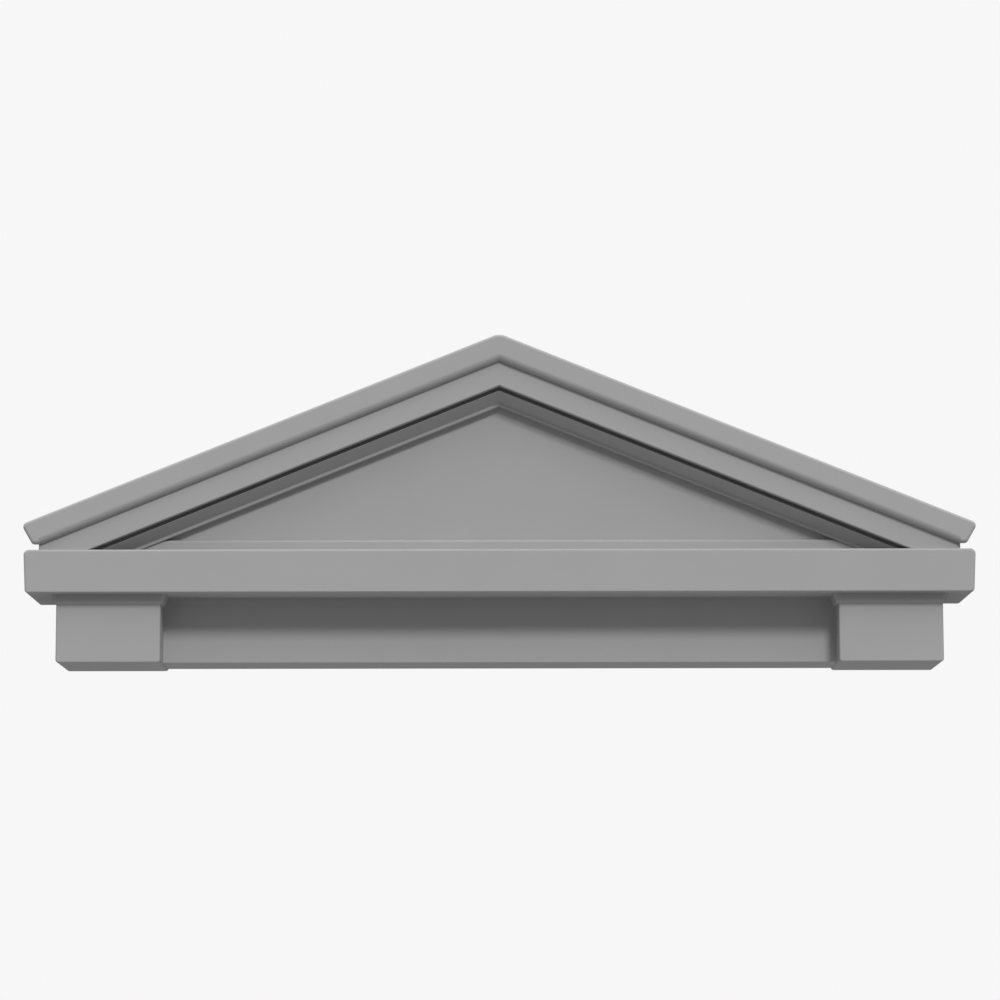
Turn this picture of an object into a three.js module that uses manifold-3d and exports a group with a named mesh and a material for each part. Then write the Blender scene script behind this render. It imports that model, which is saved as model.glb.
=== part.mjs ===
// A moulded pediment for the head of an outside door, in millimetres, +Z up.
// The front faces -Y and the flat back, which goes against the wall, faces +Y.
// The origin is under the middle of the part, at the level of the two feet.
// Every member is a slab that stands out from the wall: a front-view outline, carried forward by its
// projection, with a rounded arris all round its front face.
import * as THREE from "three";
import { mergeVertices } from "three/addons/utils/BufferGeometryUtils.js";
import Module from "manifold-3d";

const wasm = await Module();
wasm.setup();

// Width between the two end blocks, and the width of each block.
const OPENING_WIDTH = 1032;
const BLOCK_WIDTH = 159;

// How far each member stands out from the wall.
const CROWN_PROJECTION = 175;
const CORNICE_PROJECTION = 175;
const LOWER_FASCIA_PROJECTION = 163;
const BLOCK_CAP_PROJECTION = 153;
const BED_PROJECTION = 152;
const BLOCK_PROJECTION = 148;
const QUIRK_PROJECTION = 140;
const FILLET_PROJECTION = 127;
const BASE_RAIL_PROJECTION = 123;
const TYMPANUM_PROJECTION = 113;
const FRIEZE_PROJECTION = 96;

// Heights of the header's members above the feet.
const FRIEZE_BOTTOM = 3.3;
const BLOCK_CAP_BOTTOM = 88;
const CORNICE_BOTTOM = 104;
const CORNICE_TOP = 169.6;

// The cornice stands past the blocks, and its ends draw in a little towards the underside. So do the caps of
// the blocks, which stand past them by less at their foot.
const CORNICE_OVERHANG = 48;
const CORNICE_END_DRAFT = 3;
const BLOCK_CAP_OVERHANG = 8;
const BLOCK_CAP_FOOT_OVERHANG = 3;

// The cap: the pitch of its slopes, the height where the two top lines would meet, and its members'
// lower edges, measured square to the slope from the top line. The bed slants back from the front of its
// upper edge to the fillet at its foot. A sunk groove, the quirk, parts it from the lower fascia.
const PITCH = THREE.MathUtils.degToRad(22);
const APEX_HEIGHT = 502.4;
const APEX_RADIUS = 25;
const CROWN_DEPTH = 38.5;
const LOWER_FASCIA_DEPTH = 73.7;
const BED_TOP_DEPTH = 79.2;
const QUIRK_DEPTH = 82;
const BED_DEPTH = 92.7;
const BED_DROP = 13;
const FILLET_DEPTH = 97.7;
const BASE_RAIL_TOP = 190;

// Half widths of the cap: to the tips of the crown, and to the upright ends of the lower fascia. The crown's
// ends lean in towards their foot, and its tails are cut level below, a little above the cornice.
const CROWN_REACH = 727.3;
const CROWN_END_LEAN = THREE.MathUtils.degToRad(30);
const LOWER_FASCIA_REACH = 701;
const TAIL_BOTTOM = 178.5;

// Gap that keeps the cap and the header two solids.
const SEAT_GAP = 0.3;

// Radii: the moulded arris of most members, of the fillet and panel, of the crown's upper and lower edges and
// of the block caps, and the outline corners, each a little larger than the arris that runs round it.
const ARRIS = 4;
const FINE_ARRIS = 1;
const CROWN_ARRIS = 5;
const CROWN_LOWER_ARRIS = 10;
const BLOCK_CAP_ARRIS = 7;
const CORNER = 4.5;
const CROWN_CORNER = 5.5;
const CROWN_TIP_CORNER = 8;
const BLOCK_CAP_CORNER = 7.5;
const CORNICE_CORNER = 8;
const ARRIS_STEPS = 3;
const CORNER_STEPS = 4;

// How deep a member runs into the one it grows from, how far the cap's members run down past its seat before
// they are cut level, and how far the trimming boxes run past the part.
const BURIED = 12;
const SEAT_RUN = 20;
const PAST = 60;

const WALL_Y = CROWN_PROJECTION / 2;
const BLOCK_INNER = OPENING_WIDTH / 2;
const BLOCK_OUTER = BLOCK_INNER + BLOCK_WIDTH;
const CORNICE_REACH = BLOCK_OUTER + CORNICE_OVERHANG;
const CAP_BOTTOM = CORNICE_TOP + SEAT_GAP;
const CAP_FOOT = CAP_BOTTOM - SEAT_RUN;

// A geometry as a closed solid: only its positions are kept, and equal vertices are joined.
function solidFrom(geometry) {
  geometry.deleteAttribute("normal");
  geometry.deleteAttribute("uv");
  const merged = mergeVertices(geometry, 1e-4);
  return new wasm.Manifold(
    new wasm.Mesh({
      numProp: 3,
      vertProperties: merged.attributes.position.array,
      triVerts: new Uint32Array(merged.index.array),
    }),
  );
}

// A solid box between two corners.
function boxBetween(low, high) {
  const size = new THREE.Vector3().subVectors(high, low);
  const middle = new THREE.Vector3().addVectors(low, high).multiplyScalar(0.5);
  const geometry = new THREE.BoxGeometry(size.x, size.y, size.z);
  geometry.translate(middle.x, middle.y, middle.z);
  return solidFrom(geometry);
}

// The points that round one corner of an outline: an arc that touches both of its sides.
function cornerArc([x, z, radius = 0], before, after) {
  const corner = new THREE.Vector2(x, z);
  if (radius === 0) return [corner];
  const back = new THREE.Vector2(...before).sub(corner).normalize();
  const onward = new THREE.Vector2(...after).sub(corner).normalize();
  const halfAngle = Math.acos(back.dot(onward)) / 2;
  const inward = back.clone().add(onward).normalize();
  const centre = inward.multiplyScalar(radius / Math.sin(halfAngle)).add(corner);
  const reach = radius / Math.tan(halfAngle);
  const start = back.clone().multiplyScalar(reach).add(corner).sub(centre).angle();
  const end = onward.clone().multiplyScalar(reach).add(corner).sub(centre).angle();
  const turnsInward = onward.cross(back) < 0;
  return new THREE.ArcCurve(centre.x, centre.y, radius, start, end, turnsInward).getPoints(CORNER_STEPS);
}

// A front-view outline from its corners [x, z, radius], counter-clockwise. One without a radius is sharp.
function outline(corners) {
  const points = corners.flatMap((corner, index) =>
    cornerArc(corner, corners.at(index - 1), corners[(index + 1) % corners.length]),
  );
  return new THREE.Shape(points);
}

// A slab that stands out from the wall by its projection. Round its front face runs a rounded arris, or,
// where a retreat is given, a flat slant that drops by the arris while it goes back by the retreat. The same
// edge at its back falls behind the wall, where the finished piece is cut flat.
function slab(corners, projection, arris = ARRIS, retreat = arris) {
  const geometry = new THREE.ExtrudeGeometry(outline(corners), {
    depth: projection - retreat,
    bevelThickness: retreat,
    bevelSize: arris,
    bevelOffset: -arris,
    bevelSegments: retreat === arris ? ARRIS_STEPS : 1,
  });
  geometry.rotateX(Math.PI / 2);
  geometry.translate(0, WALL_Y, 0);
  return solidFrom(geometry);
}

// Corners of an upright rectangle, its lower corners rounded if asked.
function rectangle(left, right, bottom, top, lowerRadius = 0) {
  return [
    [left, bottom, lowerRadius],
    [right, bottom, lowerRadius],
    [right, top],
    [left, top],
  ];
}

// Joins the members of a piece into one solid and cuts its back flat at the wall.
function moulded(members) {
  const joined = members.reduce((whole, member) => whole.add(member));
  const low = new THREE.Vector3(-CROWN_REACH - PAST, WALL_Y, -PAST);
  const high = new THREE.Vector3(CROWN_REACH + PAST, WALL_Y + PAST, APEX_HEIGHT + PAST);
  return joined.subtract(boxBetween(low, high));
}

// A solid as a named mesh in the moulding's grey paint.
function pieceMesh(name, solid) {
  const mesh = solid.getMesh();
  const geometry = new THREE.BufferGeometry();
  geometry.setAttribute("position", new THREE.BufferAttribute(mesh.vertProperties, 3));
  geometry.setIndex(new THREE.BufferAttribute(mesh.triVerts, 1));
  const flat = geometry.toNonIndexed();
  flat.computeVertexNormals();
  const paint = new THREE.MeshStandardMaterial({ color: 0x8c8c8c, roughness: 0.55, metalness: 0 });
  const piece = new THREE.Mesh(flat, paint);
  piece.name = name;
  return piece;
}

// One end block with its cap; side is -1 for the left one and 1 for the right one.
function endBlock(side) {
  const [left, right] = [side * BLOCK_INNER, side * BLOCK_OUTER].sort((a, b) => a - b);
  const top = CORNICE_BOTTOM + BURIED;
  const block = slab(rectangle(left, right, 0, top, CORNER), BLOCK_PROJECTION);
  const cap = slab(
    [
      [left - BLOCK_CAP_FOOT_OVERHANG, BLOCK_CAP_BOTTOM, BLOCK_CAP_CORNER],
      [right + BLOCK_CAP_FOOT_OVERHANG, BLOCK_CAP_BOTTOM, BLOCK_CAP_CORNER],
      [right + BLOCK_CAP_OVERHANG, CORNICE_BOTTOM],
      [right + BLOCK_CAP_OVERHANG, top],
      [left - BLOCK_CAP_OVERHANG, top],
      [left - BLOCK_CAP_OVERHANG, CORNICE_BOTTOM],
    ],
    BLOCK_CAP_PROJECTION,
    BLOCK_CAP_ARRIS,
  );
  return block.add(cap);
}

// The header: the cornice, the frieze set back below it, and the end blocks.
function header() {
  const lowReach = CORNICE_REACH - CORNICE_END_DRAFT;
  const cornice = slab(
    [
      [-lowReach, CORNICE_BOTTOM, CORNER],
      [lowReach, CORNICE_BOTTOM, CORNER],
      [CORNICE_REACH, CORNICE_TOP, CORNICE_CORNER],
      [-CORNICE_REACH, CORNICE_TOP, CORNICE_CORNER],
    ],
    CORNICE_PROJECTION,
  );
  const friezeReach = BLOCK_INNER + BURIED;
  const frieze = slab(
    rectangle(-friezeReach, friezeReach, FRIEZE_BOTTOM, CORNICE_BOTTOM + BURIED),
    FRIEZE_PROJECTION,
  );
  return moulded([cornice, frieze, endBlock(-1), endBlock(1)]);
}

// Height of a line that runs parallel to the slope, a given depth square below the top line.
function slopeHeight(x, depth) {
  return APEX_HEIGHT - depth / Math.cos(PITCH) - Math.abs(x) * Math.tan(PITCH);
}

// Half width of the cap at a height, along a line a given depth below the top line.
function slopeReach(height, depth) {
  return (slopeHeight(0, depth) - height) / Math.tan(PITCH);
}

// The crown's face: a band along both slopes with a rounded peak. Its ends lean in and are level at the foot.
function crownFace() {
  const tipHeight = slopeHeight(CROWN_REACH, 0);
  const footX = CROWN_REACH - (tipHeight - TAIL_BOTTOM) * Math.tan(CROWN_END_LEAN);
  const levelX = slopeReach(TAIL_BOTTOM, CROWN_DEPTH);
  return [
    [0, slopeHeight(0, CROWN_DEPTH)],
    [levelX, TAIL_BOTTOM],
    [footX, TAIL_BOTTOM, CROWN_CORNER],
    [CROWN_REACH, tipHeight, CROWN_TIP_CORNER],
    [0, APEX_HEIGHT, APEX_RADIUS],
    [-CROWN_REACH, tipHeight, CROWN_TIP_CORNER],
    [-footX, TAIL_BOTTOM, CROWN_CORNER],
    [-levelX, TAIL_BOTTOM],
  ];
}

// Everything above a line that follows both slopes at a given depth, from the wall to a projection. It runs
// past the part on all other sides, so that of its edges only the lower one trims a member.
function aboveSlope(depth, projection, arris) {
  const farX = CROWN_REACH + PAST;
  return slab(
    [
      [0, slopeHeight(0, depth)],
      [farX, slopeHeight(farX, depth)],
      [farX, slopeHeight(farX, -PAST)],
      [0, slopeHeight(0, -PAST)],
      [-farX, slopeHeight(farX, -PAST)],
      [-farX, slopeHeight(farX, depth)],
    ],
    projection,
    arris,
  );
}

// The crown: its face with a fine arris, trimmed so that its lower arris is the broad one.
function crown() {
  const softened = aboveSlope(CROWN_DEPTH, CROWN_PROJECTION, CROWN_LOWER_ARRIS);
  return slab(crownFace(), CROWN_PROJECTION, CROWN_ARRIS).intersect(softened);
}

// A member that follows both slopes below the crown and runs down past the cap's seat. Its upper edge lies
// inside the crown, and its lower edge is a given depth below the top line.
function slopeBand(depth, projection, arris, retreat) {
  const innerFoot = slopeReach(CAP_FOOT, depth);
  const shoulder = slopeHeight(LOWER_FASCIA_REACH, BURIED);
  return slab(
    [
      [innerFoot, CAP_FOOT],
      [LOWER_FASCIA_REACH, CAP_FOOT],
      [LOWER_FASCIA_REACH, shoulder],
      [0, slopeHeight(0, BURIED)],
      [-LOWER_FASCIA_REACH, shoulder],
      [-LOWER_FASCIA_REACH, CAP_FOOT],
      [-innerFoot, CAP_FOOT],
      [0, slopeHeight(0, depth)],
    ],
    projection,
    arris,
    retreat,
  );
}

// The flat panel that closes the triangle, and the rail along its foot. The sides of both lie inside the bed.
function tympanum() {
  const panelDepth = FILLET_DEPTH - BURIED;
  const foot = slopeReach(CAP_FOOT, panelDepth);
  const panel = slab(
    [
      [-foot, CAP_FOOT],
      [foot, CAP_FOOT],
      [0, slopeHeight(0, panelDepth)],
    ],
    TYMPANUM_PROJECTION,
    FINE_ARRIS,
  );
  const railTop = slopeReach(BASE_RAIL_TOP, panelDepth);
  const rail = slab(
    [
      [-foot, CAP_FOOT],
      [foot, CAP_FOOT],
      [railTop, BASE_RAIL_TOP],
      [-railTop, BASE_RAIL_TOP],
    ],
    BASE_RAIL_PROJECTION,
  );
  return panel.add(rail);
}

// Behind its front lip, the crown stops at the upright ends of the lower fascia.
function tailRelief(side) {
  const [left, right] = [side * LOWER_FASCIA_REACH, side * (CROWN_REACH + PAST)].sort((a, b) => a - b);
  const lipY = WALL_Y - LOWER_FASCIA_PROJECTION;
  return boxBetween(
    new THREE.Vector3(left, lipY, CAP_BOTTOM - PAST),
    new THREE.Vector3(right, WALL_Y + PAST, APEX_HEIGHT),
  );
}

// Everything below the cap's seat.
function belowSeat() {
  return boxBetween(
    new THREE.Vector3(-CROWN_REACH - PAST, -WALL_Y - PAST, CAP_FOOT - PAST),
    new THREE.Vector3(CROWN_REACH + PAST, WALL_Y + PAST, CAP_BOTTOM),
  );
}

// The bed: a member that slants back over its whole height, cut off below the quirk.
function bed() {
  const slanted = slopeBand(BED_DEPTH, BED_PROJECTION, BED_DROP, BED_PROJECTION - FILLET_PROJECTION);
  return slanted.subtract(aboveSlope(BED_TOP_DEPTH, BED_PROJECTION + PAST, FINE_ARRIS));
}

// The cap: crown, lower fascia, quirk, bed and fillet up both slopes, with the panel and its rail behind.
function peakedCap() {
  const lowerFascia = slopeBand(LOWER_FASCIA_DEPTH, LOWER_FASCIA_PROJECTION);
  const quirk = slopeBand(QUIRK_DEPTH, QUIRK_PROJECTION, FINE_ARRIS);
  const fillet = slopeBand(FILLET_DEPTH, FILLET_PROJECTION, FINE_ARRIS);
  const cap = moulded([crown(), lowerFascia, quirk, bed(), fillet, tympanum()]);
  return cap.subtract(belowSeat()).subtract(tailRelief(-1)).subtract(tailRelief(1));
}

const pediment = new THREE.Group();
pediment.add(pieceMesh("header", header()));
pediment.add(pieceMesh("peaked_cap", peakedCap()));

export default pediment;
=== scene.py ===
# %% [markdown]
# # A moulded pediment for the head of an outside door
#
# The object is a triangular door head in two pieces. The lower one, the header, is a flat cornice with a
# recessed frieze between two end blocks. The upper one, the peaked cap, rests on it and steps back from a
# crown fascia to a flat triangular panel. Both are moulded in rigid foam and sprayed with one satin mid-grey
# paint.
#
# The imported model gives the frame: where each piece sits and how large it is. This lesson makes the fine
# surfaces that stand in for its two solids, paints them, and sets up the light and the camera.

# %% Load the frame
import math

import bmesh
import bpy
import numpy as np
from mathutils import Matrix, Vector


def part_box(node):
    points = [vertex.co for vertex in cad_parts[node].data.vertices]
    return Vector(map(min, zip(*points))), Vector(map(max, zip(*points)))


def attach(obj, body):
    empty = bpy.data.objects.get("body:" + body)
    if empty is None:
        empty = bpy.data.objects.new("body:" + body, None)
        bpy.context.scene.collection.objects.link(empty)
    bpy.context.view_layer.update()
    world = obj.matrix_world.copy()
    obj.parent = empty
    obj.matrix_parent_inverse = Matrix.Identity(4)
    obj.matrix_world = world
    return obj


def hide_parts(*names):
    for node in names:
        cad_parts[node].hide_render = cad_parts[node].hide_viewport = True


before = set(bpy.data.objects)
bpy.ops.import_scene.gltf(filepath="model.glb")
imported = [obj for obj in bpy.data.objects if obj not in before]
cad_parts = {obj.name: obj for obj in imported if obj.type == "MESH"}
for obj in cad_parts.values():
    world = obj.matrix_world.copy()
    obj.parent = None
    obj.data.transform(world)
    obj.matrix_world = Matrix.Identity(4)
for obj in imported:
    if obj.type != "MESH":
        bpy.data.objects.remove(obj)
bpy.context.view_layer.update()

HEADER_LOW, HEADER_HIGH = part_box("header")
CAP_LOW, CAP_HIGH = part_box("peaked_cap")
MM = 0.001
WALL_Y = HEADER_HIGH.y
print("frame:", [round(side / MM, 1) for side in HEADER_HIGH - HEADER_LOW], "mm header,",
      [round(side / MM, 1) for side in CAP_HIGH - CAP_LOW], "mm cap")

# %% [markdown]
# ## Corners that a mould leaves round
#
# A foam moulding has no knife edges: every corner of an outline is an arc. Rounding could be left to a Bevel
# modifier, but an outline that is round from the start keeps exact radii and needs no tidying afterwards.
# Each corner is replaced by points on an arc, and all corners are worked out in one go as numpy arrays.

# %% Round the corners of an outline
CORNER_STEPS = 9


def unit(vectors):
    """Vectors scaled to length 1 along their last axis."""
    return vectors / np.linalg.norm(vectors, axis=-1, keepdims=True)


def rounded_outline(corners, radii):
    """Closed front-view outline (x, z), counter-clockwise, with an arc at every corner.

    With unit directions b and a from a corner to its neighbours and h half the angle between them, the
    arc's centre is corner + (a + b) / |a + b| * r / sin(h). It touches the sides r / tan(h) from the corner,
    and its points are centre + r * (sin((1 - t) w) n0 + sin(t w) n1) / sin(w), where n0 and n1 point from
    the centre to the two touching points, w is the angle between them and t runs from 0 to 1.
    """
    corners = np.asarray(corners, float)
    radii = np.asarray(radii, float)[:, None]
    back = unit(np.roll(corners, 1, axis=0) - corners)
    onward = unit(np.roll(corners, -1, axis=0) - corners)
    half = np.arccos((back * onward).sum(-1, keepdims=True)) / 2
    centre = corners + unit(back + onward) * radii / np.sin(half)
    n0 = unit(corners + back * radii / np.tan(half) - centre)
    n1 = unit(corners + onward * radii / np.tan(half) - centre)
    turn = np.arccos((n0 * n1).sum(-1, keepdims=True))[:, None]
    t = np.linspace(0, 1, CORNER_STEPS)[None, :, None]
    arc = (np.sin((1 - t) * turn) * n0[:, None] + np.sin(t * turn) * n1[:, None]) / np.sin(turn)
    return (centre[:, None] + radii[:, None] * arc).reshape(-1, 2)


print("a rounded corner is", CORNER_STEPS, "points")

# %% [markdown]
# ## A slab with a rounded arris
#
# Every member of the pediment is a slab that stands out from the wall: its front-view outline is carried
# forward, and where the side turns into the front face it is rounded by a small quarter circle, the arris.
# That is a profile carried along a path. The path is the outline, and the profile says how far the surface
# has moved inwards and how far it stands out from the wall. A Bevel modifier on an extruded face would look
# alike, but here every side of an outline can have its own radius, and one member can have a flat slant in
# place of the round.

# %% Carry the arris profile along an outline
ARRIS_STEPS = 9
QUARTER = np.linspace(0, math.pi / 2, ARRIS_STEPS)
ROUND = np.stack([1 - np.cos(QUARTER), 1 - np.sin(QUARTER)])
SLANT = np.array([[0.0, 1.0], [1.0, 0.0]])


def inward_mitres(outline):
    """For each outline point, the step that moves both of its sides in by 1: (n0 + n1) / (1 + n0 . n1)."""
    sides = unit(np.roll(outline, -1, axis=0) - outline)
    normals = np.stack([-sides[:, 1], sides[:, 0]], axis=1)
    before = np.roll(normals, 1, axis=0)
    return (before + normals) / (1 + (before * normals).sum(-1, keepdims=True))


def slab_points(outline, projection, arris, retreat, profile):
    """Grid of points S(s, p) = (x, y, z) of a slab's skin, from the wall to the edge of the front face.

    Point p of the outline moves inwards along its mitre by arris(p) * a(s), and stands out from the wall by
    projection - retreat(p) * b(s). The round profile has a = 1 - cos q and b = 1 - sin q for q from 0 to a
    right angle, and the slant has a from 0 to 1 and b from 1 to 0. One more row lies on the wall itself.
    """
    inset = profile[0][:, None] * arris
    reach = projection - profile[1][:, None] * retreat
    inset = np.concatenate([np.zeros_like(inset[:1]), inset])
    reach = np.concatenate([np.zeros_like(reach[:1]), reach])
    flat = outline[None] + inset[..., None] * inward_mitres(outline)[None]
    return np.stack([flat[..., 0], WALL_Y - reach, flat[..., 1]], axis=-1)


def closed_object(name, grid):
    """Object of a grid of points (rows, around): quads between the rows, and one face over each end."""
    rows, around = grid.shape[:2]
    index = np.arange(rows * around).reshape(rows, around)
    onward = np.roll(index, -1, axis=1)
    quads = np.stack([index[:-1], onward[:-1], onward[1:], index[1:]], axis=-1).reshape(-1, 4)
    faces = quads.tolist() + [index[-1].tolist(), index[0, ::-1].tolist()]
    mesh = bpy.data.meshes.new(name)
    mesh.from_pydata(grid.reshape(-1, 3).tolist(), [], faces)
    made = bpy.data.objects.new(name, mesh)
    bpy.context.scene.collection.objects.link(made)
    return made


def slab(name, corners, radii, projection, arris, retreat=None):
    """A member of the pediment, its sizes in millimetres.

    The arris is one radius, or one for each side of the outline, side k running from corner k to the next.
    It changes from side to side along the arc of the corner between them. With a retreat the edge is a flat
    slant.
    """
    outline = rounded_outline(np.asarray(corners) * MM, np.asarray(radii) * MM)
    sides = np.broadcast_to(np.asarray(arris, float), len(corners)) * MM
    t = np.linspace(0, 1, CORNER_STEPS)[None]
    along = (np.roll(sides, 1)[:, None] * (1 - t) + sides[:, None] * t).reshape(-1)
    if retreat is None:
        return closed_object(name, slab_points(outline, projection * MM, along, along, ROUND))
    back = np.full_like(along, retreat * MM)
    return closed_object(name, slab_points(outline, projection * MM, along, back, SLANT))


def box_object(name, low, high):
    """A plain box between two corners, used to cut with."""
    x, z = np.array([[low[0], low[2]], [high[0], low[2]], [high[0], high[2]], [low[0], high[2]]]).T
    y = np.array([high[1], low[1]])
    grid = np.stack(np.broadcast_arrays(x[None], y[:, None], z[None]), axis=-1)
    return closed_object(name, grid)


print("a slab has", ARRIS_STEPS + 1, "rows of points from the wall to its front face")

# %% [markdown]
# ## One skin for each moulding
#
# In the mould the members run into one another with no seam, so their slabs are joined by exact booleans into
# one closed skin. Flat faces that the join has split are dissolved again. Shading is smooth over the arrises
# and sharp in the creases, and a Weighted Normal modifier keeps the large faces truly flat beside them.

# %% Fuse members into one moulding
CREASE_ANGLE = math.radians(32)
FLAT_ANGLE = math.radians(0.05)
MERGE_DISTANCE = 2e-6
FLAT_FACE_WEIGHT = 100


def apply_booleans(whole, others, operation):
    """Joins the other objects to the first one, or cuts them from it, and removes them."""
    for other in others:
        step = whole.modifiers.new(other.name, "BOOLEAN")
        step.operation = operation
        step.solver = "EXACT"
        step.object = other
    fused = bpy.data.meshes.new_from_object(whole.evaluated_get(bpy.context.evaluated_depsgraph_get()))
    whole.modifiers.clear()
    whole.data = fused
    for other in others:
        bpy.data.meshes.remove(other.data)


def tidy_skin(mesh):
    """Merges doubles, dissolves the cuts across flat faces and turns all faces outwards."""
    skin = bmesh.new()
    skin.from_mesh(mesh)
    bmesh.ops.remove_doubles(skin, verts=skin.verts, dist=MERGE_DISTANCE)
    bmesh.ops.dissolve_limit(skin, angle_limit=FLAT_ANGLE, verts=skin.verts, edges=skin.edges)
    bmesh.ops.recalc_face_normals(skin, faces=skin.faces)
    skin.to_mesh(mesh)
    skin.free()


def moulding(name, members, cutters=()):
    """One closed piece from its members, less the cutters."""
    whole = members[0]
    apply_booleans(whole, members[1:], "UNION")
    if cutters:
        apply_booleans(whole, cutters, "DIFFERENCE")
    whole.name = whole.data.name = name
    tidy_skin(whole.data)
    whole.data.shade_smooth()
    whole.data.set_sharp_from_angle(angle=CREASE_ANGLE)
    flats = whole.modifiers.new("flat_faces", "WEIGHTED_NORMAL")
    flats.keep_sharp = True
    flats.weight = FLAT_FACE_WEIGHT
    print(name, "has", len(whole.data.polygons), "faces")
    return whole


print("creases sharper than", round(math.degrees(CREASE_ANGLE)), "degrees stay sharp")

# %% [markdown]
# ## The header
#
# The header carries the cap. Its cornice is a long slab whose ends draw in a little towards the underside, as
# a moulding must to leave its mould. Below it the frieze lies well back, and an end block stands forward at
# each side under a small rounded cap. All of these run up into the cornice, so that the join has no faces
# lying on each other. A sweep along the front would do for the cornice alone, but slabs serve every member.

# %% Sizes of the header, in millimetres
OPENING_WIDTH = 1032
BLOCK_WIDTH = 159
CORNICE_PROJECTION = 175
BLOCK_CAP_PROJECTION = 153
BLOCK_PROJECTION = 148
FRIEZE_PROJECTION = 96
FRIEZE_BOTTOM = 3.3
BLOCK_CAP_BOTTOM = 88
CORNICE_BOTTOM = 104
CORNICE_TOP = HEADER_HIGH.z / MM
CORNICE_OVERHANG = 48
CORNICE_END_DRAFT = 3
BLOCK_CAP_OVERHANG = 8
BLOCK_CAP_FOOT_OVERHANG = 3
ARRIS = 4
SIDE_ARRIS = 3
LOWER_ARRIS = 1.8
CORNER = 4.5
BLOCK_CAP_ARRIS = 7
BLOCK_CAP_CORNER = 7.5
CORNICE_CORNER = 8
BURIED = 12
BLOCK_INNER = OPENING_WIDTH / 2
BLOCK_OUTER = BLOCK_INNER + BLOCK_WIDTH
CORNICE_REACH = BLOCK_OUTER + CORNICE_OVERHANG


def rectangle(left, right, bottom, top):
    """Corners of an upright rectangle, counter-clockwise from the lower left."""
    return [(left, bottom), (right, bottom), (right, top), (left, top)]


print("the cornice is", 2 * CORNICE_REACH, "mm long and", round(CORNICE_TOP - CORNICE_BOTTOM, 1), "mm high")

# %% Make the header
def end_block(side):
    """An end block and its cap, as two members; side is -1 for the left one and 1 for the right one."""
    left, right = sorted((side * BLOCK_INNER, side * BLOCK_OUTER))
    top = CORNICE_BOTTOM + BURIED
    block_arris = [LOWER_ARRIS, SIDE_ARRIS, SIDE_ARRIS, SIDE_ARRIS]
    block = slab("block", rectangle(left, right, 0, top), [CORNER] * 4, BLOCK_PROJECTION, block_arris)
    foot = BLOCK_CAP_FOOT_OVERHANG
    past = BLOCK_CAP_OVERHANG
    cap_face = [(left - foot, BLOCK_CAP_BOTTOM), (right + foot, BLOCK_CAP_BOTTOM),
                (right + past, CORNICE_BOTTOM), (right + past, top),
                (left - past, top), (left - past, CORNICE_BOTTOM)]
    cap = slab("block_cap", cap_face, [BLOCK_CAP_CORNER] * 6, BLOCK_CAP_PROJECTION, BLOCK_CAP_ARRIS)
    return [block, cap]


def make_header():
    """The cornice, the frieze and the two end blocks, fused."""
    low_reach = CORNICE_REACH - CORNICE_END_DRAFT
    cornice_face = [(-low_reach, CORNICE_BOTTOM), (low_reach, CORNICE_BOTTOM),
                    (CORNICE_REACH, CORNICE_TOP), (-CORNICE_REACH, CORNICE_TOP)]
    cornice_radii = [CORNER, CORNER, CORNICE_CORNER, CORNICE_CORNER]
    cornice_arris = [LOWER_ARRIS, ARRIS, ARRIS, ARRIS]
    cornice = slab("cornice", cornice_face, cornice_radii, CORNICE_PROJECTION, cornice_arris)
    reach = BLOCK_INNER + BURIED
    frieze_face = rectangle(-reach, reach, FRIEZE_BOTTOM, CORNICE_BOTTOM + BURIED)
    frieze = slab("frieze", frieze_face, [CORNER] * 4, FRIEZE_PROJECTION, LOWER_ARRIS)
    return moulding("header_moulding", [cornice, frieze, *end_block(-1), *end_block(1)])


header = make_header()

# %% [markdown]
# ## The peaked cap
#
# Five members follow both slopes and step back one behind the other: the crown with its broad soft lower
# edge, the lower fascia, a narrow sunk groove called the quirk, a bed that slants back in the shade, and a
# thin fillet at its foot. Behind them a flat panel closes the triangle, with a rail along its foot.
#
# Depths are measured square to the slope from its top line, as they are on a drawing of the profile, so one
# helper turns a depth into the height of a line and another into the half width of the triangle under it.

# %% Sizes of the peaked cap, in millimetres
PITCH = math.radians(22)
APEX_HEIGHT = 502.4
APEX_RADIUS = 25
CROWN_DEPTH = 38.5
LOWER_FASCIA_DEPTH = 73.7
BED_TOP_DEPTH = 79.2
QUIRK_DEPTH = 82
BED_DEPTH = 92.7
BED_DROP = 13
FILLET_DEPTH = 97.7
BASE_RAIL_TOP = 190
CROWN_REACH = 727.3
CROWN_END_LEAN = math.radians(30)
LOWER_FASCIA_REACH = 701
TAIL_BOTTOM = 178.5
CROWN_PROJECTION = 175
LOWER_FASCIA_PROJECTION = 163
BED_PROJECTION = 152
QUIRK_PROJECTION = 140
FILLET_PROJECTION = 127
BASE_RAIL_PROJECTION = 123
TYMPANUM_PROJECTION = 113
CROWN_ARRIS = 5
CROWN_LOWER_ARRIS = 10
CROWN_CORNER = 5.5
CROWN_TIP_CORNER = 8
TAIL_TURN = 12
FINE_ARRIS = 1
FINE_CORNER = 1.5
INNER_CORNER = 1
CAP_BOTTOM = CAP_LOW.z / MM
WASTE_HEIGHT = 20
CAP_FOOT = CAP_BOTTOM - WASTE_HEIGHT
NEST_STEP = 4


def slope_height(x, depth):
    """Height of the line that runs a given depth square below the top line of a slope."""
    return APEX_HEIGHT - depth / math.cos(PITCH) - abs(x) * math.tan(PITCH)


def slope_reach(height, depth):
    """Half width, at a height, of the triangle under that line."""
    return (slope_height(0, depth) - height) / math.tan(PITCH)


print("the cap rises", round(APEX_HEIGHT - CAP_BOTTOM, 1), "mm to the point of its slopes")

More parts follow.
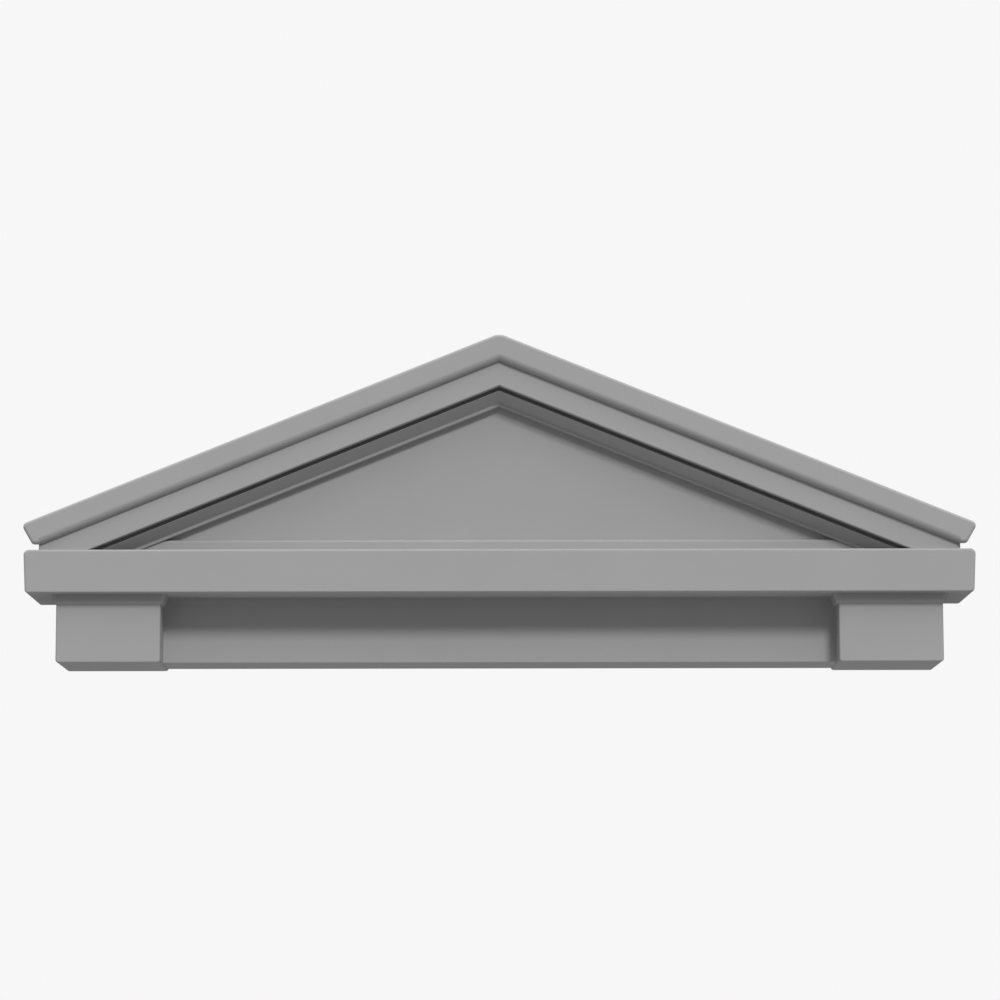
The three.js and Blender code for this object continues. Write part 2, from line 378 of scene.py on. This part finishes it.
# %% [markdown]
# ## Bands along the slopes
#
# On the real moulding these bands are cut into the tool as one profile. A profile swept up one slope and down
# the other would need a mitre at the peak and at each foot. As slabs one behind the other, each with its own
# outline and arris, the mitres come by themselves. All run on below the seat into waste that is cut off
# later.

# %% Make the bands that follow the slopes
BED_NEST = 3


def crown():
    """The front band with its rounded peak; its ends lean in and are level at the foot."""
    tip = slope_height(CROWN_REACH, 0)
    foot = CROWN_REACH - (tip - TAIL_BOTTOM) * math.tan(CROWN_END_LEAN)
    level = slope_reach(TAIL_BOTTOM, CROWN_DEPTH)
    face = [(0, slope_height(0, CROWN_DEPTH)), (level, TAIL_BOTTOM), (foot, TAIL_BOTTOM),
            (CROWN_REACH, tip), (0, APEX_HEIGHT), (-CROWN_REACH, tip),
            (-foot, TAIL_BOTTOM), (-level, TAIL_BOTTOM)]
    radii = [INNER_CORNER, TAIL_TURN, CROWN_CORNER, CROWN_TIP_CORNER,
             APEX_RADIUS, CROWN_TIP_CORNER, CROWN_CORNER, TAIL_TURN]
    arris = [CROWN_LOWER_ARRIS] + [CROWN_ARRIS] * 6 + [CROWN_LOWER_ARRIS]
    return slab("crown", face, radii, CROWN_PROJECTION, arris)


def slope_band(name, nest, depth, projection, arris):
    """A band below the crown that runs down past the cap's seat; its upper edge lies inside the crown.

    The hidden edges of each band are nested a step inside those of the one in front, so that no two faces of
    the slabs to be joined lie on each other.
    """
    reach = LOWER_FASCIA_REACH - nest * NEST_STEP
    buried = BURIED + nest * NEST_STEP
    low = CAP_FOOT - nest
    foot = slope_reach(low, depth)
    shoulder = slope_height(reach, buried)
    face = [(foot, low), (reach, low), (reach, shoulder), (0, slope_height(0, buried)),
            (-reach, shoulder), (-reach, low), (-foot, low), (0, slope_height(0, depth))]
    return slab(name, face, [CORNER] * 7 + [INNER_CORNER], projection, arris)


def bed():
    """The band that slants back in the shade; a dark groove, the quirk, parts it from the lower fascia."""
    low = CAP_FOOT - BED_NEST
    foot = slope_reach(low, BED_DEPTH)
    far = slope_reach(low, BED_TOP_DEPTH)
    face = [(foot, low), (far, low), (0, slope_height(0, BED_TOP_DEPTH)),
            (-far, low), (-foot, low), (0, slope_height(0, BED_DEPTH))]
    drop = [0, 0, 0, 0, BED_DROP, BED_DROP]
    return slab("bed", face, [INNER_CORNER] * 6, BED_PROJECTION, drop, BED_PROJECTION - FILLET_PROJECTION)


print("the bands step back by", CROWN_PROJECTION - FILLET_PROJECTION, "mm from crown to fillet")

# %% [markdown]
# ## Panel, rail and open air
#
# The panel is a plain triangle, and the rail stands a little in front of its foot. The crown's ends reach
# past the rest as a lip with open air behind and below, so boxes take away what lies there, and another cuts
# the whole level where it rests on the header. Cutting last gives clean flat faces at all three places.

# %% Make the panel, its rail and the cap
PAST = 60


def tympanum():
    """The flat panel and the rail along its foot; the sides of both lie inside the bed."""
    low = CAP_FOOT - NEST_STEP
    depth = FILLET_DEPTH - BURIED
    foot = slope_reach(low, depth)
    panel_face = [(-foot, low), (foot, low), (0, slope_height(0, depth))]
    panel = slab("panel", panel_face, [FINE_CORNER] * 3, TYMPANUM_PROJECTION, FINE_ARRIS)
    foot = slope_reach(CAP_FOOT, depth - NEST_STEP)
    rail_top = slope_reach(BASE_RAIL_TOP, depth - NEST_STEP)
    rail_face = [(-foot, CAP_FOOT), (foot, CAP_FOOT),
                 (rail_top, BASE_RAIL_TOP), (-rail_top, BASE_RAIL_TOP)]
    rail = slab("rail", rail_face, [CORNER] * 4, BASE_RAIL_PROJECTION, ARRIS)
    return [panel, rail]


def open_air():
    """What is cut from the cap: everything below its seat, and the air behind the crown's two lips."""
    far = CROWN_REACH + PAST
    front = WALL_Y / MM - CROWN_PROJECTION - PAST
    behind = WALL_Y / MM + PAST
    lip = WALL_Y / MM - LOWER_FASCIA_PROJECTION
    below = CAP_FOOT - PAST
    spans = [(-far, front, below, far, behind, CAP_BOTTOM),
             (-far, lip, below, -LOWER_FASCIA_REACH, behind, APEX_HEIGHT),
             (LOWER_FASCIA_REACH, lip, below, far, behind, APEX_HEIGHT)]
    return [box_object("open_air", span[:3] * MM, span[3:] * MM) for span in np.array(spans)]


def make_cap():
    """Crown, lower fascia, quirk, bed, fillet, panel and rail, fused, less the open air."""
    lower_arris = [SIDE_ARRIS] * 6 + [LOWER_ARRIS] * 2
    lower = slope_band("lower_fascia", 0, LOWER_FASCIA_DEPTH, LOWER_FASCIA_PROJECTION, lower_arris)
    quirk = slope_band("quirk", 1, QUIRK_DEPTH, QUIRK_PROJECTION, FINE_ARRIS)
    fillet = slope_band("fillet", 2, FILLET_DEPTH, FILLET_PROJECTION, FINE_ARRIS)
    return moulding("cap_moulding", [crown(), lower, quirk, fillet, bed(), *tympanum()], open_air())


cap = make_cap()

# %% [markdown]
# ## Satin grey paint
#
# Sprayed paint on a moulding is never one flat value. Seen close, it has the fine dimples of orange peel.
# Over a hand's width the foam skin under it is a little uneven and the colour a little mottled. Faces that
# look up
# are painted lighter: partly a film of dust, partly a painted highlight where the light from above falls.
# These are made as node groups, so that each can be read, and reused, on its own. They work on Object
# coordinates, so the grain is the same size on every side of both pieces.

# %% Helpers for node trees
def add_node(tree, kind, place, **settings):
    """A node of a kind at a place in the tree, with its properties set."""
    node = tree.nodes.new(kind)
    node.location = place
    for key, value in settings.items():
        setattr(node, key, value)
    return node


def new_group(name, inputs, outputs):
    """A shader node group with named sockets, and its input and output nodes."""
    group = bpy.data.node_groups.new(name, "ShaderNodeTree")
    for socket, kind in inputs:
        group.interface.new_socket(socket, in_out="INPUT", socket_type=kind)
    for socket, kind in outputs:
        group.interface.new_socket(socket, in_out="OUTPUT", socket_type=kind)
    given = add_node(group, "NodeGroupInput", (-600, 0))
    made = add_node(group, "NodeGroupOutput", (600, 0))
    return group, given, made


# %% Orange peel and mottling as one group
PEEL_DETAIL = 2.0
UNEVEN_DETAIL = 3.0
UNEVEN_SHARE = 6.0
GLOSS_SCALE = 23.0
GLOSS_DETAIL = 4.0


def sprayed_coat_group():
    """Height of the peel and the skin's unevenness, and two slow patterns for colour and gloss."""
    group, given, made = new_group(
        "sprayed_coat",
        [("Vector", "NodeSocketVector"), ("Peel Scale", "NodeSocketFloat"),
         ("Uneven Scale", "NodeSocketFloat")],
        [("Height", "NodeSocketFloat"), ("Mottle", "NodeSocketFloat"), ("Gloss", "NodeSocketFloat")])
    peel = add_node(group, "ShaderNodeTexNoise", (-300, 200))
    peel.inputs["Detail"].default_value = PEEL_DETAIL
    uneven = add_node(group, "ShaderNodeTexNoise", (-300, -50))
    uneven.inputs["Detail"].default_value = UNEVEN_DETAIL
    gloss = add_node(group, "ShaderNodeTexNoise", (-300, -300))
    gloss.inputs["Scale"].default_value = GLOSS_SCALE
    gloss.inputs["Detail"].default_value = GLOSS_DETAIL
    swell = add_node(group, "ShaderNodeMath", (0, 50), operation="MULTIPLY")
    swell.inputs[1].default_value = UNEVEN_SHARE
    height = add_node(group, "ShaderNodeMath", (250, 150), operation="ADD")
    link = group.links.new
    for noise in (peel, uneven, gloss):
        link(given.outputs["Vector"], noise.inputs["Vector"])
    link(given.outputs["Peel Scale"], peel.inputs["Scale"])
    link(given.outputs["Uneven Scale"], uneven.inputs["Scale"])
    link(uneven.outputs["Fac"], swell.inputs[0])
    link(peel.outputs["Fac"], height.inputs[0])
    link(swell.outputs[0], height.inputs[1])
    link(height.outputs[0], made.inputs["Height"])
    link(uneven.outputs["Fac"], made.inputs["Mottle"])
    link(gloss.outputs["Fac"], made.inputs["Gloss"])
    return group


# %% Dust and a painted highlight on upward faces as a group
SPECK_SCALE = 140.0
SPECK_DETAIL = 3.0
# Faces that look up are painted lighter between these slopes: partly dust, partly a painted highlight of the
# light from above.
DUST_AND_HIGHLIGHT_BEGINS = 0.15
DUST_AND_HIGHLIGHT_FULL = 0.85
DUST_AND_HIGHLIGHT_THINNEST = 0.6


def dust_and_painted_highlight_group():
    """Mask that is 1 on faces that look up and 0 on upright ones, broken up by a fine noise; it marks dust
    and a painted highlight.
    """
    group, given, made = new_group(
        "dust_and_painted_highlight",
        [("Vector", "NodeSocketVector"), ("Normal", "NodeSocketVector")],
        [("Mask", "NodeSocketFloat")])
    up = add_node(group, "ShaderNodeSeparateXYZ", (-350, 100))
    speck = add_node(group, "ShaderNodeTexNoise", (-350, -150))
    speck.inputs["Scale"].default_value = SPECK_SCALE
    speck.inputs["Detail"].default_value = SPECK_DETAIL
    # The upward faces marked here get a lighter colour: dust and a painted highlight together.
    lie = add_node(group, "ShaderNodeMapRange", (-100, 100), interpolation_type="SMOOTHSTEP")
    lie.inputs["From Min"].default_value = DUST_AND_HIGHLIGHT_BEGINS
    lie.inputs["From Max"].default_value = DUST_AND_HIGHLIGHT_FULL
    patch = add_node(group, "ShaderNodeMapRange", (-100, -150))
    patch.inputs["To Min"].default_value = DUST_AND_HIGHLIGHT_THINNEST
    mask = add_node(group, "ShaderNodeMath", (250, 0), operation="MULTIPLY")
    link = group.links.new
    link(given.outputs["Normal"], up.inputs[0])
    link(given.outputs["Vector"], speck.inputs["Vector"])
    link(up.outputs["Z"], lie.inputs["Value"])
    link(speck.outputs["Fac"], patch.inputs["Value"])
    link(lie.outputs["Result"], mask.inputs[0])
    link(patch.outputs["Result"], mask.inputs[1])
    link(mask.outputs[0], made.inputs["Mask"])
    return group


# %% [markdown]
# ## Put the paint together
#
# A Principled shader takes the mottled grey, the dust with its painted highlight on upward faces and the
# uneven
# gloss, and a Bump node turns the height of the peel into a slight waver of the light. The paint is fairly
# rough:
# no lamp is mirrored in it, and only the arrises show a soft light line. One material serves both pieces, as
# one spray gun would.

# %% The paint itself
PAINT_DARK = (0.37, 0.37, 0.371, 1.0)
PAINT_LIGHT = (0.395, 0.395, 0.394, 1.0)
# The lighter colour on upward faces is partly dust and partly a painted highlight of the light from above.
DUST_AND_HIGHLIGHT_COLOUR = (0.5, 0.496, 0.488, 1.0)
DUST_AND_HIGHLIGHT_SHARE = 0.3
ROUGHNESS_LOW = 0.68
ROUGHNESS_HIGH = 0.8
SPECULAR_LEVEL = 0.25
PEEL_SCALE = 420.0
UNEVEN_SCALE = 9.0
PEEL_STRENGTH = 0.5
PEEL_DEPTH = 0.00012


def satin_grey_paint():
    """Principled paint: mottled grey, dust and a painted highlight on top, uneven gloss and a bump of orange
    peel.
    """
    paint = bpy.data.materials.new("satin_grey_paint")
    paint.use_nodes = True
    tree = paint.node_tree
    shader = tree.nodes["Principled BSDF"]
    place = add_node(tree, "ShaderNodeTexCoord", (-1100, 0))
    surface = add_node(tree, "ShaderNodeNewGeometry", (-1100, -300))
    coat = add_node(tree, "ShaderNodeGroup", (-850, 100), node_tree=sprayed_coat_group())
    coat.inputs["Peel Scale"].default_value = PEEL_SCALE
    coat.inputs["Uneven Scale"].default_value = UNEVEN_SCALE
    dust_and_highlight = add_node(tree, "ShaderNodeGroup", (-850, -250), node_tree=dust_and_painted_highlight_group())
    grey = add_node(tree, "ShaderNodeMix", (-550, 250), data_type="RGBA")
    grey.inputs["A"].default_value = PAINT_DARK
    grey.inputs["B"].default_value = PAINT_LIGHT
    share = add_node(tree, "ShaderNodeMath", (-550, -250), operation="MULTIPLY")
    share.inputs[1].default_value = DUST_AND_HIGHLIGHT_SHARE
    # This mix lightens upward faces: partly dust, partly a painted highlight.
    dusty_and_lit = add_node(tree, "ShaderNodeMix", (-300, 200), data_type="RGBA")
    dusty_and_lit.inputs["B"].default_value = DUST_AND_HIGHLIGHT_COLOUR
    rough = add_node(tree, "ShaderNodeMapRange", (-550, 0))
    rough.inputs["To Min"].default_value = ROUGHNESS_LOW
    rough.inputs["To Max"].default_value = ROUGHNESS_HIGH
    shader.inputs["Specular IOR Level"].default_value = SPECULAR_LEVEL
    bump = add_node(tree, "ShaderNodeBump", (-300, -150))
    bump.inputs["Strength"].default_value = PEEL_STRENGTH
    bump.inputs["Distance"].default_value = PEEL_DEPTH
    link = tree.links.new
    link(place.outputs["Object"], coat.inputs["Vector"])
    link(place.outputs["Object"], dust_and_highlight.inputs["Vector"])
    link(surface.outputs["Normal"], dust_and_highlight.inputs["Normal"])
    link(coat.outputs["Mottle"], grey.inputs["Factor"])
    link(dust_and_highlight.outputs["Mask"], share.inputs[0])
    link(grey.outputs["Result"], dusty_and_lit.inputs["A"])
    link(share.outputs[0], dusty_and_lit.inputs["Factor"])
    link(coat.outputs["Gloss"], rough.inputs["Value"])
    link(coat.outputs["Height"], bump.inputs["Height"])
    link(dusty_and_lit.outputs["Result"], shader.inputs["Base Color"])
    link(rough.outputs["Result"], shader.inputs["Roughness"])
    link(bump.outputs["Normal"], shader.inputs["Normal"])
    return paint


PAINT = satin_grey_paint()
for piece, node in ((header, "header"), (cap, "peaked_cap")):
    piece.data.materials.clear()
    piece.data.materials.append(PAINT)
    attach(piece, "root")
    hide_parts(node)
print("painted", header.name, "and", cap.name)

# %% [markdown]
# ## Floor
#
# The pediment hangs at the height of a door head, so the floor lies far below it. The camera sees a pale
# floor, but the light that it gives back is weaker away from the part, as in a studio where only the middle
# is lit. That keeps the shaded frieze dark and still puts some light on the undersides. A Light Path node
# tells the rays of the camera from those of the light.

# %% Floor
FLOOR_DEPTH = 2.2
FLOOR_RADIUS = 40.0
FLOOR_SIDES = 96
FLOOR_COLOUR = (0.62, 0.62, 0.62, 1.0)
BOUNCE_NEAR = 0.42
BOUNCE_FAR = 0.14
POOL_RADIUS = 4.5
FLOOR_ROUGHNESS = 0.9


def floor_paint():
    """Pale to the camera; to other rays it darkens from the middle to the edge of the pool of light."""
    pale = bpy.data.materials.new("pale_floor")
    pale.use_nodes = True
    tree = pale.node_tree
    shader = tree.nodes["Principled BSDF"]
    shader.inputs["Roughness"].default_value = FLOOR_ROUGHNESS
    place = add_node(tree, "ShaderNodeTexCoord", (-1000, 0))
    away = add_node(tree, "ShaderNodeVectorMath", (-800, 0), operation="LENGTH")
    pool = add_node(tree, "ShaderNodeMapRange", (-600, 0), interpolation_type="SMOOTHSTEP")
    pool.inputs["From Min"].default_value = FLOOR_DEPTH
    pool.inputs["From Max"].default_value = POOL_RADIUS
    pool.inputs["To Min"].default_value = BOUNCE_NEAR
    pool.inputs["To Max"].default_value = BOUNCE_FAR
    ray = add_node(tree, "ShaderNodeLightPath", (-600, 300))
    seen = add_node(tree, "ShaderNodeMix", (-300, 100), data_type="RGBA")
    seen.inputs["B"].default_value = FLOOR_COLOUR
    link = tree.links.new
    link(place.outputs["Object"], away.inputs[0])
    link(away.outputs["Value"], pool.inputs["Value"])
    link(ray.outputs["Is Camera Ray"], seen.inputs["Factor"])
    link(pool.outputs["Result"], seen.inputs["A"])
    link(seen.outputs["Result"], shader.inputs["Base Color"])
    return pale


def make_floor():
    """A round sheet: points radius * (cos a, sin a) at door-foot level, under one face."""
    angle = np.linspace(0, 2 * math.pi, FLOOR_SIDES, endpoint=False)
    rim = np.stack([FLOOR_RADIUS * np.cos(angle), FLOOR_RADIUS * np.sin(angle),
                    np.full_like(angle, -FLOOR_DEPTH)], axis=-1)
    mesh = bpy.data.meshes.new("floor")
    mesh.from_pydata(rim.tolist(), [], [list(range(FLOOR_SIDES))])
    floor = bpy.data.objects.new("floor", mesh)
    bpy.context.scene.collection.objects.link(floor)
    mesh.materials.append(floor_paint())


make_floor()
print("the floor lies", FLOOR_DEPTH, "m below the blocks' feet")

# %% [markdown]
# ## Light
#
# The world is the studio's dome. To the camera it is a plain pale backdrop. As a light it is dim in front and
# lighter behind, with a broad softbox overhead that draws the light lines along the upper arrises and
# lightens the foot of the panel by way of the cornice's top. One lamp from the front, a little to the right,
# casts the soft shadows that part the members. Area lamps could do the same, but a dome needs no placing.

# %% Dome
BACKDROP = 0.93
DOME_FRONT = 0.32
DOME_BACK = 0.6
FRONT_EDGE = -0.75
BACK_EDGE = 0.4
SOFTBOX = 1.0
SOFTBOX_EDGE = 0.45
SOFTBOX_FULL = 0.75


def make_dome():
    """World light by direction: dim in front, lighter behind, a softbox overhead; plain to the camera."""
    world = bpy.data.worlds.new("studio_dome")
    bpy.context.scene.world = world
    world.use_nodes = True
    tree = world.node_tree
    sky = tree.nodes["Background"]
    place = add_node(tree, "ShaderNodeTexCoord", (-1000, 0))
    split = add_node(tree, "ShaderNodeSeparateXYZ", (-800, 0))
    behind = add_node(tree, "ShaderNodeMapRange", (-550, 150), interpolation_type="SMOOTHSTEP")
    behind.inputs["From Min"].default_value = FRONT_EDGE
    behind.inputs["From Max"].default_value = BACK_EDGE
    behind.inputs["To Min"].default_value = DOME_FRONT
    behind.inputs["To Max"].default_value = DOME_BACK
    above = add_node(tree, "ShaderNodeMapRange", (-550, -150), interpolation_type="SMOOTHSTEP")
    above.inputs["From Min"].default_value = SOFTBOX_EDGE
    above.inputs["From Max"].default_value = SOFTBOX_FULL
    above.inputs["To Max"].default_value = SOFTBOX
    light = add_node(tree, "ShaderNodeMath", (-350, 0), operation="ADD")
    ray = add_node(tree, "ShaderNodeLightPath", (-350, 300))
    seen = add_node(tree, "ShaderNodeMix", (-150, 100), data_type="FLOAT")
    seen.inputs["B"].default_value = BACKDROP
    sky.inputs["Color"].default_value = (1.0, 1.0, 1.0, 1.0)
    link = tree.links.new
    link(place.outputs["Generated"], split.inputs[0])
    link(split.outputs["Y"], behind.inputs["Value"])
    link(split.outputs["Z"], above.inputs["Value"])
    link(behind.outputs["Result"], light.inputs[0])
    link(above.outputs["Result"], light.inputs[1])
    link(ray.outputs["Is Camera Ray"], seen.inputs["Factor"])
    link(light.outputs[0], seen.inputs["A"])
    link(seen.outputs["Result"], sky.inputs["Strength"])


make_dome()
print("dome from", DOME_FRONT, "in front to", DOME_BACK, "behind, with", SOFTBOX, "more overhead")

# %% Lamp
KEY_ELEVATION = math.radians(34.5)
KEY_AZIMUTH = math.radians(15)
KEY_SIZE = math.radians(12)
KEY_STRENGTH = 1.56


def make_key():
    """A broad distant lamp; its light falls along its local -Z."""
    lamp = bpy.data.lights.new("key", "SUN")
    lamp.angle = KEY_SIZE
    lamp.energy = KEY_STRENGTH
    key = bpy.data.objects.new("key", lamp)
    key.rotation_euler = (math.pi / 2 - KEY_ELEVATION, 0, KEY_AZIMUTH)
    bpy.context.scene.collection.objects.link(key)


make_key()
bpy.context.scene.view_settings.view_transform = "Standard"
print("key", round(math.degrees(KEY_ELEVATION), 1), "degrees up")

# %% [markdown]
# ## Camera
#
# The photograph is taken from below and from some way off: the undersides show, and the receding edges hardly
# converge. A long lens is aimed a little upwards at the middle of the pediment. Tilting it, rather than
# shifting the lens, keeps the object in the middle of the frame from every other side as well.

# %% Place the camera
CAMERA_DISTANCE = 5.396
CAMERA_RIGHT = -0.0004
CAMERA_BELOW_FEET = 0.5084
CAMERA_TILT = math.radians(7.94)
CAMERA_ROLL = math.radians(0.09)
SENSOR_WIDTH = 36.0
FRAME_PIXELS = 1000
FOCAL_PIXELS = 3584


def make_camera():
    """A camera in front of the part, its distance counted from the cornice's front face."""
    lens = bpy.data.cameras.new("camera")
    lens.sensor_width = SENSOR_WIDTH
    lens.lens = SENSOR_WIDTH * FOCAL_PIXELS / FRAME_PIXELS
    camera = bpy.data.objects.new("camera", lens)
    camera.location = (CAMERA_RIGHT, HEADER_LOW.y - CAMERA_DISTANCE, -CAMERA_BELOW_FEET)
    camera.rotation_euler = (math.pi / 2 + CAMERA_TILT, CAMERA_ROLL, 0)
    bpy.context.scene.collection.objects.link(camera)
    bpy.context.scene.camera = camera
    print("lens", round(lens.lens, 1), "mm")


make_camera()
